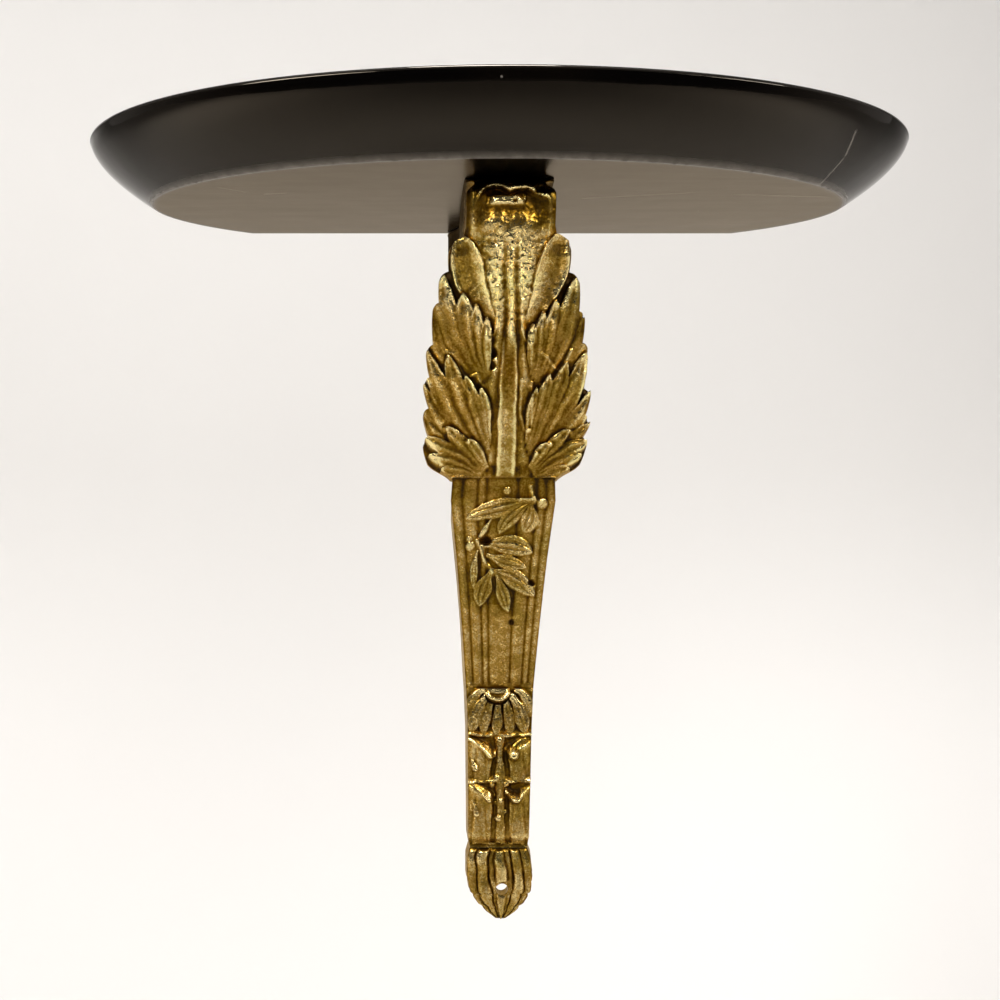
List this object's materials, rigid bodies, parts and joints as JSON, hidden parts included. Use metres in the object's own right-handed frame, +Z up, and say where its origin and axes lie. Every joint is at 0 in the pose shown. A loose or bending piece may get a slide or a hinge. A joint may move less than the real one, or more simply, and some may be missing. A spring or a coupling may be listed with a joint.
{
  "type": "wall bracket shelf",
  "caption": "Small black lacquered wall shelf with a rounded front, carried by a slim cast brass bracket with an acanthus leaf and a screw tab.",
  "frame": {"origin": "middle of the board's flat back face, on the wall plane", "axes": "+X to the right seen from the room, +Y into the wall, +Z up"},
  "size_m": [0.29, 0.121, 0.2913],
  "materials": {
    "black_lacquer": "glossy black lacquer",
    "antique_brass": "aged satin, dark in the hollows"
  },
  "bodies": {
    "root": {"shelf_board": "black_lacquer", "brass_bracket": "antique_brass"}
  },
  "joints": []
}
